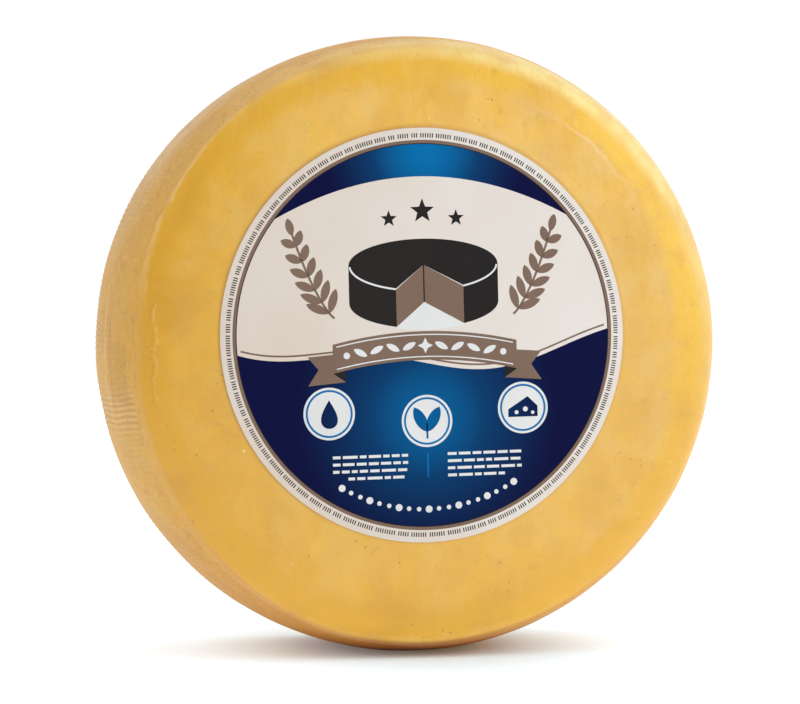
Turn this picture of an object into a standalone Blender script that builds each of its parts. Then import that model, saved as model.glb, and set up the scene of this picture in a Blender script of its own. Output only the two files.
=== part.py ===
"""Whole wheel of hard cheese standing on its edge, with a round paper label on its front face.

The wheel's axis lies along Y and its front face looks along -Y. +Z is up. The origin is on the
floor, under the middle of the wheel. Lengths are in metres and angles in degrees.
"""

import math

import bmesh
import bpy
from mathutils import Matrix, Vector

# Wheel
BELLY_RADIUS = 0.1248      # widest radius, halfway through the thickness
EDGE_RADIUS = 0.1170       # radius of the edge between the side and a face, before its rounding
EDGE_DEPTH = 0.0443        # from the middle plane to that edge
FACE_DEPTH = 0.0475        # from the middle plane to the centre of a face
ROUND_ON_FACE = 0.0065     # how far the edge's rounding reaches along the face
ROUND_ON_SIDE = 0.0042     # how far it reaches along the side
SIDE_POWER = 2.4           # a higher power makes the side flatter between its edges
FACE_POWER = 8.0           # a higher power keeps the face flat further out
FLAT_DEPTH = 0.0012        # how far the wheel has settled where it stands

# Unevenness of the wheel: each wave is (count round the wheel, height, angle of its crest)
BELLY_WAVES = ((2, 0.00043, 21.0), (3, 0.00017, 30.0), (4, 0.00018, 49.0), (5, 0.00007, 62.0))
EDGE_WAVES = ((2, 0.0003, 84.0), (3, 0.0002, 20.0))
FACE_WAVES = ((2, 0.00022, 35.0), (3, 0.00018, 100.0))
# Each swell of an edge is (angle of its middle, half width, height), and a dip has a negative height
FRONT_EDGE_SWELLS = ((178.0, 13.0, -0.0019), (124.0, 20.0, 0.0011), (35.0, 24.0, -0.0006))
BACK_EDGE_SWELLS = ((205.0, 20.0, -0.0012), (75.0, 26.0, 0.0008), (-20.0, 18.0, -0.0010))

# Label
LABEL_RADIUS = 0.081
LABEL_SHIFT_X = -0.0031    # from the wheel's axis to the label's centre
LABEL_SHIFT_Z = 0.0036
LABEL_GAP = 0.0003         # between the face and the back of the label
LABEL_THICKNESS = 0.0003

# Fineness of the meshes
WHEEL_SEGMENTS = 96
FACE_RINGS = (0.030, 0.058, 0.075, 0.088, 0.098, 0.105)
SIDE_STEPS = 11
EDGE_STEPS = 5
LABEL_SEGMENTS = 72
LABEL_RINGS = (0.030, 0.052, 0.067, 0.076, LABEL_RADIUS)
POLE_MERGE = 1e-6


def clear_scene():
    """Remove every object that the file opened with."""
    for thing in list(bpy.data.objects):
        bpy.data.objects.remove(thing, do_unlink=True)


def make_material(name, colour, roughness):
    """A non-metallic Principled material of one colour."""
    material = bpy.data.materials.new(name)
    material.use_nodes = True
    shader = material.node_tree.nodes["Principled BSDF"]
    shader.inputs["Base Color"].default_value = (*colour, 1.0)
    shader.inputs["Roughness"].default_value = roughness
    shader.inputs["Metallic"].default_value = 0.0
    material.diffuse_color = (*colour, 1.0)
    return material


def add_object(name, mesh_data, material):
    """Turn a bmesh into a smooth-shaded object in the scene."""
    mesh = bpy.data.meshes.new(name)
    mesh_data.to_mesh(mesh)
    mesh_data.free()
    mesh.materials.append(material)
    mesh.shade_smooth()
    mesh.set_sharp_from_angle(angle=math.radians(40.0))
    thing = bpy.data.objects.new(name, mesh)
    bpy.context.scene.collection.objects.link(thing)
    return thing


def waves(table, angle):
    """Sum of the table's waves at an angle round the wheel, in radians."""
    return sum(height * math.cos(count * (angle - math.radians(crest))) for count, height, crest in table)


def swells(table, angle):
    """Sum of the table's local swells and dips at an angle round the wheel, in radians."""
    total = 0.0
    for middle, half_width, height in table:
        turn = math.remainder(angle - math.radians(middle), 2.0 * math.pi)
        total += height * math.exp(-((turn / math.radians(half_width)) ** 2))
    return total


def side_radius(depth):
    """Radius of the true wheel's bulged side at a depth from the middle plane."""
    return EDGE_RADIUS + (BELLY_RADIUS - EDGE_RADIUS) * (1.0 - abs(depth / EDGE_DEPTH) ** SIDE_POWER)


def face_depth(radius):
    """Depth of the true wheel's domed face at a radius."""
    return FACE_DEPTH - (FACE_DEPTH - EDGE_DEPTH) * (radius / EDGE_RADIUS) ** FACE_POWER


def edge_arc():
    """Points of the rounded edge as (radius, depth), from the face to the side."""
    start = Vector((EDGE_RADIUS - ROUND_ON_FACE, face_depth(EDGE_RADIUS - ROUND_ON_FACE)))
    corner = Vector((EDGE_RADIUS, EDGE_DEPTH))
    end = Vector((side_radius(EDGE_DEPTH - ROUND_ON_SIDE), EDGE_DEPTH - ROUND_ON_SIDE))
    points = []
    for step in range(EDGE_STEPS + 1):
        t = step / EDGE_STEPS
        points.append(start.lerp(corner, t).lerp(corner.lerp(end, t), t))
    return points


def wheel_outline():
    """Half section of the true wheel as (radius, depth), from the front centre to the back centre."""
    front = [Vector((0.0, FACE_DEPTH))]
    front += [Vector((radius, face_depth(radius))) for radius in FACE_RINGS]
    front += edge_arc()
    reach = EDGE_DEPTH - ROUND_ON_SIDE
    side = []
    for step in range(1, SIDE_STEPS):
        depth = reach * math.cos(math.pi * step / SIDE_STEPS)
        side.append(Vector((side_radius(depth), depth)))
    back = [Vector((point.x, -point.y)) for point in reversed(front)]
    return front + side + back


def uneven(radius, depth, angle):
    """Move a point of the true wheel to its place on the uneven one.

    depth is positive towards the front face. The belly follows BELLY_WAVES, the edges follow
    their own waves and swells, and the faces rise and fall a little more towards their edges.
    """
    towards_edge = min(1.0, abs(depth / EDGE_DEPTH) ** SIDE_POWER)
    from_axis = min(1.0, radius / EDGE_RADIUS)
    edge_swells = FRONT_EDGE_SWELLS if depth > 0.0 else BACK_EDGE_SWELLS
    edge_move = waves(EDGE_WAVES, angle) + swells(edge_swells, angle)
    belly_move = waves(BELLY_WAVES, angle)
    radial = (1.0 - towards_edge) * belly_move + towards_edge * edge_move * from_axis ** 3
    outward = towards_edge * waves(FACE_WAVES, angle) * from_axis ** 2
    return radius + radial, depth + math.copysign(outward, depth)


def place(radius, depth, angle):
    """Point in space for a radius, a depth towards the front and an angle round the wheel."""
    return Vector((radius * math.cos(angle), -depth, radius * math.sin(angle)))


def axis_height():
    """Height of the wheel's axis above the floor once its lowest part has settled."""
    return BELLY_RADIUS + waves(BELLY_WAVES, math.radians(-90.0)) - FLAT_DEPTH


def spin_outline(outline, segments):
    """Spin a (radius, depth) outline about the Y axis into a closed bmesh."""
    mesh_data = bmesh.new()
    points = [mesh_data.verts.new((point.x, -point.y, 0.0)) for point in outline]
    edges = [mesh_data.edges.new(pair) for pair in zip(points, points[1:])]
    bmesh.ops.spin(
        mesh_data,
        geom=points + edges,
        cent=(0.0, 0.0, 0.0),
        axis=(0.0, 1.0, 0.0),
        angle=math.tau,
        steps=segments,
        use_merge=True,
    )
    bmesh.ops.remove_doubles(mesh_data, verts=mesh_data.verts[:], dist=POLE_MERGE)
    bmesh.ops.recalc_face_normals(mesh_data, faces=mesh_data.faces[:])
    return mesh_data


def make_wheel(material):
    """The cheese: a bulged wheel with domed faces, settled on a small flat spot."""
    mesh_data = spin_outline(wheel_outline(), WHEEL_SEGMENTS)
    for vert in mesh_data.verts:
        angle = math.atan2(vert.co.z, vert.co.x)
        radius, depth = uneven(math.hypot(vert.co.x, vert.co.z), -vert.co.y, angle)
        vert.co = place(radius, depth, angle)
    bmesh.ops.translate(mesh_data, verts=mesh_data.verts[:], vec=(0.0, 0.0, axis_height()))
    cut = bmesh.ops.bisect_plane(
        mesh_data,
        geom=mesh_data.verts[:] + mesh_data.edges[:] + mesh_data.faces[:],
        dist=POLE_MERGE,
        plane_co=(0.0, 0.0, 0.0),
        plane_no=(0.0, 0.0, -1.0),
        clear_outer=True,
    )
    rim = [part for part in cut["geom_cut"] if isinstance(part, bmesh.types.BMEdge)]
    bmesh.ops.contextual_create(mesh_data, geom=rim)
    bmesh.ops.recalc_face_normals(mesh_data, faces=mesh_data.faces[:])
    return add_object("cheese_wheel", mesh_data, material)


def lay_on_face(x, z, lift):
    """Point of the uneven front face at x and z from the wheel's axis, lifted off it."""
    radius = math.hypot(x, z)
    depth = uneven(radius, face_depth(radius), math.atan2(z, x))[1]
    return Vector((x, -(depth + lift), z + axis_height()))


def make_label(material):
    """The label: a thin round disc that follows the front face with a small gap."""
    top = LABEL_GAP + LABEL_THICKNESS
    outline = [Vector((0.0, top))]
    outline += [Vector((radius, top)) for radius in LABEL_RINGS]
    outline += [Vector((radius, LABEL_GAP)) for radius in reversed(LABEL_RINGS)]
    outline.append(Vector((0.0, LABEL_GAP)))
    mesh_data = spin_outline(outline, LABEL_SEGMENTS)
    bmesh.ops.transform(
        mesh_data,
        verts=mesh_data.verts[:],
        matrix=Matrix.Translation((LABEL_SHIFT_X, 0.0, LABEL_SHIFT_Z)),
    )
    for vert in mesh_data.verts:
        vert.co = lay_on_face(vert.co.x, vert.co.z, -vert.co.y)
    return add_object("label", mesh_data, material)


def main():
    """Build the wheel and its label."""
    clear_scene()
    make_wheel(make_material("golden_cheese", (0.768, 0.462, 0.107), 0.42))
    make_label(make_material("label_paper", (0.740, 0.700, 0.650), 0.5))


main()
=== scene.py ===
"""Looks of a whole wheel of hard cheese that stands on its edge, with a round label on its face.

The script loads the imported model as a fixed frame, then builds the cheese and its printed label
at the same places and sizes, with a plain studio around them. Lengths are in metres and angles in
degrees unless a name says otherwise. +Z is up, and the labelled face looks along -Y.
"""

import logging
import math
import random
from collections.abc import Callable, Iterator, Sequence
from contextlib import contextmanager
from dataclasses import dataclass, field
from enum import Enum

import bmesh
import bpy
import numpy as np
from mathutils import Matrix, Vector, noise


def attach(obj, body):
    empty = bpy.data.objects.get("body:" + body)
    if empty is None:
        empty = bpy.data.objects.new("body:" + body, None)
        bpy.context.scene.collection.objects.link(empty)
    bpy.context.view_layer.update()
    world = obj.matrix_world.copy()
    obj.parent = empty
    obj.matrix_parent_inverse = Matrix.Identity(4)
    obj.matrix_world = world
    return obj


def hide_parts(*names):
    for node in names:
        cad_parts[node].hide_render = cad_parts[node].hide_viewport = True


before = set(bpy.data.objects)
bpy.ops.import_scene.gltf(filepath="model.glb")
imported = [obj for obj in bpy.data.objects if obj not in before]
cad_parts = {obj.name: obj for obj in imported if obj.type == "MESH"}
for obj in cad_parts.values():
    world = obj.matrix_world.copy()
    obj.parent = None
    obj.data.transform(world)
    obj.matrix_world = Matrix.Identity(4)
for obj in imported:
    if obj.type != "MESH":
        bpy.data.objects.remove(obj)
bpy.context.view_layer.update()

logging.basicConfig(level=logging.INFO, format="%(message)s")
log = logging.getLogger("cheese")

BODY = "root"
MM = 0.001
MERGE_DISTANCE = 1e-6
EVENLY = (1.0, 1.0, 1.0)
UNMOVED = (0.0, 0.0, 0.0)
BY_HEIGHT = (0.0, 0.0, 1.0)
IN_THE_FACE = (1.0, 0.0, 1.0)

Array = np.ndarray
Numbers = np.ndarray | float
Pair = tuple[Array, Array]
Rule = Callable[[Array, Array], Pair]
Spot = tuple[float, float]
Triple = tuple[float, float, float]
Colour = tuple[float, float, float]
Tint = tuple[float, float, float, float]
Ripple = tuple[float, float, float]
Band = tuple[float, float]
Line = tuple[str, float, float, float]
Inputs = dict[str | int, object]
Piece = bpy.types.Object
Socket = bpy.types.NodeSocket


class Slot(Enum):
    """The record's material slots."""

    CHEESE = "cheese"
    PAPER = "label_paper"
    NAVY = "print_navy"
    TAUPE = "print_taupe"
    BLACK = "print_black"
    WHITE = "print_white"
    AZURE = "print_azure"


def linear(colour: Colour) -> Tint:
    """Turn a display colour of 0 to 255 a channel into the linear colour that shaders take.

    Args:
        colour: Red, green and blue as a screen shows them.

    Returns:
        Linear red, green and blue, and an alpha of 1.
    """
    channels = []
    for share in (value / 255.0 for value in colour):
        channels.append(share / 12.92 if share <= 0.04045 else ((share + 0.055) / 1.055) ** 2.4)
    return (*channels, 1.0)


def smooth_step(values: Numbers, low: float, high: float) -> Numbers:
    """Rise smoothly from 0 at low to 1 at high, or fall where low is above high."""
    share = np.clip((values - low) / (high - low), 0.0, 1.0)
    return share * share * (3.0 - 2.0 * share)


def bell(values: Numbers, middle: float, half_width: float) -> Numbers:
    """A bell curve of height 1 round middle."""
    return np.exp(-(((values - middle) / half_width) ** 2))


def select_only(*pieces: Piece) -> None:
    """Leave edit mode, select some pieces alone and make the first one active.

    Args:
        pieces: The pieces, or none to select nothing.
    """
    if bpy.context.object is not None and bpy.context.object.mode != "OBJECT":
        bpy.ops.object.mode_set(mode="OBJECT")
    bpy.ops.object.select_all(action="DESELECT")
    for piece in pieces:
        piece.select_set(True)
    if pieces:
        bpy.context.view_layer.objects.active = pieces[0]


@contextmanager
def editing(piece: Piece, mode: str = "VERT") -> Iterator[bmesh.types.BMesh]:
    """Open a piece alone in edit mode with everything selected, and close it at the end.

    Args:
        piece: The mesh object to edit.
        mode: VERT, EDGE or FACE, the kind of selection.

    Yields:
        The piece's edit mesh.
    """
    select_only(piece)
    bpy.ops.object.mode_set(mode="EDIT")
    bpy.ops.mesh.select_mode(type=mode)
    bpy.ops.mesh.select_all(action="SELECT")
    yield bmesh.from_edit_mesh(piece.data)
    bpy.ops.object.mode_set(mode="OBJECT")


def points_of(piece: Piece) -> Array:
    """Read where a piece's vertices are.

    Args:
        piece: The mesh object.

    Returns:
        Their places, one a row.
    """
    flat = np.empty(len(piece.data.vertices) * 3)
    piece.data.vertices.foreach_get("co", flat)
    return flat.reshape(-1, 3)


def move_points(piece: Piece, points: Array) -> None:
    """Put the piece's vertices at new places."""
    piece.data.vertices.foreach_set("co", points.astype(np.float32).ravel())
    piece.data.update()


def join_pieces(name: str, pieces: Sequence[Piece]) -> Piece:
    """Join several mesh objects into one.

    Args:
        name: Name of the joined object.
        pieces: The objects, of which the first takes in the others.

    Returns:
        The joined object.
    """
    select_only(*pieces)
    if len(pieces) > 1:
        bpy.ops.object.join()
    joined = bpy.context.view_layer.objects.active
    joined.name = joined.data.name = name
    return joined


def place_piece(piece: Piece, slot: Slot, material: bpy.types.Material, *stands_for: str) -> None:
    """Dress a finished piece, tie it to the frame and report it.

    Args:
        piece: The finished mesh object, with its place in its mesh.
        slot: The record's slot that its finish belongs to.
        material: Its material.
        stands_for: Names of the CAD nodes that it replaces.
    """
    piece.data.materials.clear()
    piece.data.materials.append(material)
    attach(piece, BODY)
    if stands_for:
        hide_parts(*stands_for)
    triangles = sum(len(face.vertices) - 2 for face in piece.data.polygons)
    log.info("%s: %d triangles, finish %s", piece.name, triangles, slot.value)


@dataclass(frozen=True)
class Cloud:
    """A patchy pattern: noise of a scale, mapped smoothly from low and high onto start and end."""

    scale: float
    detail: float
    low: float
    high: float
    start: float = 0.0
    end: float = 1.0
    stretch: Triple = EVENLY
    shift: Triple = UNMOVED
    distortion: float = 0.0


Limit = Cloud | tuple[str | float, ...]


@dataclass(frozen=True)
class Tone:
    """A display colour, or a tint of four channels, that is laid over a material's colour.

    It shows where all of its limits do. A limit is a cloud or the name of a number, with the low
    and high that are mapped onto 0 and 1, or onto the two values that follow them. A name alone
    stands for the number itself.
    """

    colour: Colour | Tint
    share: float
    limits: tuple[Limit, ...]


class Graph:
    """A material's or a world's node tree, with short ways to add and join its nodes."""

    def __init__(self, owner: bpy.types.ID) -> None:
        """Open a node tree.

        Args:
            owner: The material or world that it belongs to.
        """
        owner.use_nodes = True
        self.owner = owner
        self.nodes = owner.node_tree.nodes
        self.links = owner.node_tree.links
        self.numbers: dict[str, Socket] = {}

    def feed(self, socket: Socket, value: object) -> None:
        """Link a socket or set it.

        Args:
            socket: The input socket.
            value: An output to link it to, or else a plain value.
        """
        if isinstance(value, Socket):
            self.links.new(value, socket)
        else:
            socket.default_value = value

    def add(self, kind: str, inputs: Inputs | None = None, **settings: object) -> bpy.types.Node:
        """Add a node.

        Args:
            kind: The node's type without its ShaderNode prefix.
            inputs: Values or outputs for its sockets, by name or number.
            settings: Values for its own properties.

        Returns:
            The node.
        """
        node = self.nodes.new("ShaderNode" + kind)
        for name, value in settings.items():
            setattr(node, name, value)
        for key, value in (inputs or {}).items():
            self.feed(node.inputs[key], value)
        return node

    def set_shader(self, **values: object) -> None:
        """Set or link the Principled shader's sockets, named with _ for each space."""
        for name, value in values.items():
            self.feed(self.nodes["Principled BSDF"].inputs[name.replace("_", " ")], value)

    def number(self, name: str) -> Socket:
        """Look up a number by its name.

        Args:
            name: The name that it was noted under, or else that of a number kept on the mesh.

        Returns:
            The number.
        """
        if name not in self.numbers:
            node = self.add("Attribute", attribute_name=name, attribute_type="GEOMETRY")
            self.numbers[name] = node.outputs["Fac"]
        return self.numbers[name]

    def place(self, stretch: Triple = EVENLY, shift: Triple = UNMOVED) -> Socket:
        """Object coordinates, stretched and then shifted.

        Args:
            stretch: What X, Y and Z are multiplied by.
            shift: What is added to them.

        Returns:
            The coordinates.
        """
        coordinates = self.add("TexCoord").outputs["Object"]
        inputs = {"Vector": coordinates, "Scale": stretch, "Location": shift}
        return self.add("Mapping", inputs).outputs["Vector"]

    def axes(self, where: Socket | None = None) -> list[Socket]:
        """The three coordinates of where, or of the object, each on its own."""
        split = self.add("SeparateXYZ", {0: where or self.place()})
        return [split.outputs[axis] for axis in "XYZ"]

    def away(self, stretch: Triple, shift: Triple) -> Socket:
        """Distance from the origin of the stretched and shifted coordinates."""
        return self.add("VectorMath", {0: self.place(stretch, shift)}, operation="LENGTH").outputs["Value"]

    def away_in_face(self, across: float, up: float) -> Socket:
        """Distance in the plane of the face from a spot on it."""
        return self.away(IN_THE_FACE, (-across, 0.0, -up))

    def noise(self, where: Socket, scale: float, detail: float = 2.0, distortion: float = 0.0) -> Socket:
        """Noise from 0 to 1, with lumps of about 1 / scale metres."""
        inputs = {"Vector": where, "Scale": scale, "Detail": detail, "Distortion": distortion}
        return self.add("TexNoise", inputs).outputs[0]

    def ripple(self, scale: float, detail: float, height: float, stretch: Triple = EVENLY) -> Socket:
        """Noise round 0, with its full swing equal to height."""
        centred = self.maths("SUBTRACT", self.noise(self.place(stretch), scale, detail), 0.5)
        return self.maths("MULTIPLY", centred, height)

    def dots(self, scale: float, shift: Triple = UNMOVED) -> Socket:
        """Distance from the nearest of many dots about 1 / scale metres apart, as a share of that."""
        cells = self.add("TexVoronoi", {"Vector": self.place(shift=shift), "Scale": scale})
        return cells.outputs["Distance"]

    def maths(self, operation: str, *values: object, clamp: bool = False) -> Socket:
        """One step of arithmetic on numbers or outputs."""
        return self.add("Math", dict(enumerate(values)), operation=operation, use_clamp=clamp).outputs[0]

    def product(self, first: object, *others: object) -> Socket:
        """Multiply numbers or outputs together.

        Args:
            first: The first of them.
            others: The others, if any.

        Returns:
            Their product, or the first alone.
        """
        for other in others:
            first = self.maths("MULTIPLY", first, other)
        return first

    def gap(self, value: Socket, middle: float) -> Socket:
        """How far value is from middle, on either side of it."""
        return self.maths("ABSOLUTE", self.maths("SUBTRACT", value, middle))

    def span(self, value: object, low: float, high: float, start: float = 0.0, end: float = 1.0) -> Socket:
        """Map value smoothly from low and high onto start and end."""
        inputs = {"Value": value, "From Min": low, "From Max": high, "To Min": start, "To Max": end}
        return self.add("MapRange", inputs, interpolation_type="SMOOTHSTEP").outputs["Result"]

    def shows(self, *limits: Limit) -> Socket:
        """How strongly some limits show together.

        Args:
            limits: Clouds and limited numbers, as a tone has them.

        Returns:
            Their product.
        """
        parts = []
        for limit in limits:
            if isinstance(limit, Cloud):
                where = self.place(limit.stretch, limit.shift)
                lumps = self.noise(where, limit.scale, limit.detail, limit.distortion)
                parts.append(self.span(lumps, limit.low, limit.high, limit.start, limit.end))
            else:
                name, *band = limit
                parts.append(self.span(self.number(name), *band) if band else self.number(name))
        return self.product(*parts)

    def mix(self, share: object, first: object, second: object, blend: str = "MIX") -> Socket:
        """Mix two colours by share."""
        node = self.add("Mix", {0: share, 6: first, 7: second}, data_type="RGBA", blend_type=blend)
        return node.outputs[2]

    def lay(self, colour: Socket, *tones: Tone) -> Socket:
        """Lay tones over a colour, in order.

        Args:
            colour: The colour below.
            tones: The tones.

        Returns:
            The new colour.
        """
        for tone in tones:
            share = self.product(tone.share, self.shows(*tone.limits))
            if len(tone.colour) == 4:
                colour = self.mix(share, colour, self.mix(1.0, colour, tone.colour, "MULTIPLY"))
            else:
                colour = self.mix(share, colour, linear(tone.colour))
        return colour

    def ramp(self, value: Socket, stops: Sequence[tuple[float, Colour]]) -> Socket:
        """A colour ramp through display colours.

        Args:
            value: The number that runs along the ramp.
            stops: Pairs of a place from 0 to 1 and a display colour, in order.

        Returns:
            The colour output.
        """
        node = self.add("ValToRGB", {"Fac": value})
        elements = node.color_ramp.elements
        while len(elements) < len(stops):
            elements.new(0.5)
        for element, (position, colour) in zip(elements, stops):
            element.position = position
            element.color = linear(colour)
        return node.outputs["Color"]

    def bump(self, height: Socket, distance: float, strength: float = 1.0) -> Socket:
        """A surface normal bent by height, which is distance deep at 1."""
        inputs = {"Height": height, "Distance": distance, "Strength": strength}
        return self.add("Bump", inputs).outputs["Normal"]


@dataclass(frozen=True)
class Wave:
    """A wave round the wheel."""

    count: int
    height: float
    crest: float

    def at(self, angles: Numbers) -> Numbers:
        """Its height at each angle."""
        return self.height * np.cos(np.radians(self.count * (angles - self.crest)))


@dataclass(frozen=True)
class Swell:
    """A local swell round the wheel, or a dip where its height is negative."""

    middle: float
    half_width: float
    height: float = 1.0

    def at(self, angles: Numbers) -> Numbers:
        """Its height at each angle."""
        return self.height * bell((angles - self.middle + 180.0) % 360.0 - 180.0, 0.0, self.half_width)


@dataclass(frozen=True)
class Lumps:
    """Soft lumps all over a surface, of a rough size and a height, picked by a seed."""

    size: float
    seed: float
    height: float = 1.0

    def at(self, points: Array) -> Array:
        """Their height at each point, from about -height to height, for points one a row."""
        shifted = points / self.size + np.array((7.31, 3.17, 5.93)) * self.seed
        return self.height * np.array([noise.noise(Vector(point)) for point in shifted]) * 1.6


def total(parts: Sequence[Wave | Swell], angles: Numbers) -> Numbers:
    """Sum of waves, swells and dips at each angle."""
    return sum(part.at(angles) for part in parts)


def highest(parts: Sequence[Swell], angles: Array) -> Array:
    """Height of the highest of several swells at each angle."""
    return np.maximum.reduce([part.at(angles) for part in parts])


@dataclass(frozen=True)
class WheelForm:
    """The wheel's form, with the same sizes and the same unevenness as its solid."""

    belly_radius: float = 0.1248
    edge_radius: float = 0.1170
    edge_depth: float = 0.0443
    face_centre: float = 0.0475
    round_on_face: float = 0.0065
    round_on_side: float = 0.0042
    side_power: float = 2.4
    face_power: float = 8.0
    flat_depth: float = 0.0012
    belly_waves: tuple[Wave, ...] = (
        Wave(2, 0.00043, 21.0),
        Wave(3, 0.00017, 30.0),
        Wave(4, 0.00018, 49.0),
        Wave(5, 0.00007, 62.0),
    )
    edge_waves: tuple[Wave, ...] = (Wave(2, 0.0003, 84.0), Wave(3, 0.0002, 20.0))
    face_waves: tuple[Wave, ...] = (Wave(2, 0.00022, 35.0), Wave(3, 0.00018, 100.0))
    front_swells: tuple[Swell, ...] = (
        Swell(178.0, 13.0, -0.0019),
        Swell(124.0, 20.0, 0.0011),
        Swell(35.0, 24.0, -0.0006),
    )
    back_swells: tuple[Swell, ...] = (
        Swell(205.0, 20.0, -0.0012),
        Swell(75.0, 26.0, 0.0008),
        Swell(-20.0, 18.0, -0.0010),
    )

    def side_radius(self, depths: Numbers) -> Numbers:
        """Radius of the true wheel's bulged side at each depth from the middle plane."""
        bulge = self.belly_radius - self.edge_radius
        return self.edge_radius + bulge * (1.0 - np.abs(depths / self.edge_depth) ** self.side_power)

    def face_depth(self, radii: Numbers) -> Numbers:
        """Depth of the true wheel's domed face at each radius."""
        dome = self.face_centre - self.edge_depth
        return self.face_centre - dome * (radii / self.edge_radius) ** self.face_power

    def uneven(self, radii: Array, depths: Array, angles: Array) -> Pair:
        """Move points of the true wheel to their places on the uneven one.

        Args:
            radii: Distance of each point from the wheel's axis.
            depths: Depth of each point from the middle plane, positive towards the front.
            angles: Angle of each point round the wheel.

        Returns:
            The uneven radii and depths.
        """
        towards_edge = np.minimum(1.0, np.abs(depths / self.edge_depth) ** self.side_power)
        from_axis = np.minimum(1.0, radii / self.edge_radius)
        swelling = np.where(depths > 0.0, total(self.front_swells, angles), total(self.back_swells, angles))
        edge_move = total(self.edge_waves, angles) + swelling
        belly_move = total(self.belly_waves, angles)
        radial = (1.0 - towards_edge) * belly_move + towards_edge * edge_move * from_axis ** 3
        outward = towards_edge * total(self.face_waves, angles) * from_axis ** 2
        return radii + radial, depths + np.sign(depths) * outward

    def axis_height(self) -> float:
        """Height of the wheel's axis above the floor."""
        return self.belly_radius + float(total(self.belly_waves, -90.0)) - self.flat_depth

    def place(self, radii: Numbers, depths: Numbers, angles: Numbers) -> Array:
        """Turn distances and angles into points in space.

        Args:
            radii: Distance of each point from the wheel's axis.
            depths: Depth of each point from the middle plane, positive towards the front.
            angles: Angle of each point round the wheel.

        Returns:
            The points, one a row.
        """
        turns = np.radians(angles)
        up = radii * np.sin(turns) + self.axis_height()
        return np.stack((radii * np.cos(turns), -depths, up), axis=-1)

    def lay_on_face(self, across: Array, up: Array, lift: Array) -> Array:
        """Points that follow the front face.

        Args:
            across: X of each point from the wheel's axis.
            up: Z of each point from the wheel's axis.
            lift: Height of each point above the face.

        Returns:
            The points in space, one a row.
        """
        radii = np.hypot(across, up)
        depths = self.uneven(radii, self.face_depth(radii), np.degrees(np.arctan2(up, across)))[1]
        return np.stack((across, -(depths + lift), up + self.axis_height()), axis=-1)


# Limits by the distance from the edge in millimetres, and colours that come more than once
ON_FACE = ("from_edge", 5.0, 13.0, 0.12, 1.0)
ON_SIDE = ("from_edge", -0.5, -2.5)
PAST_EDGE = ("from_edge", 0.4, -0.8)
INSIDE_EDGE = ("from_edge", -0.6, 0.8)
PALE = (238, 199, 108)
GOLDEN_BAND = (231, 174, 33)


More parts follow.
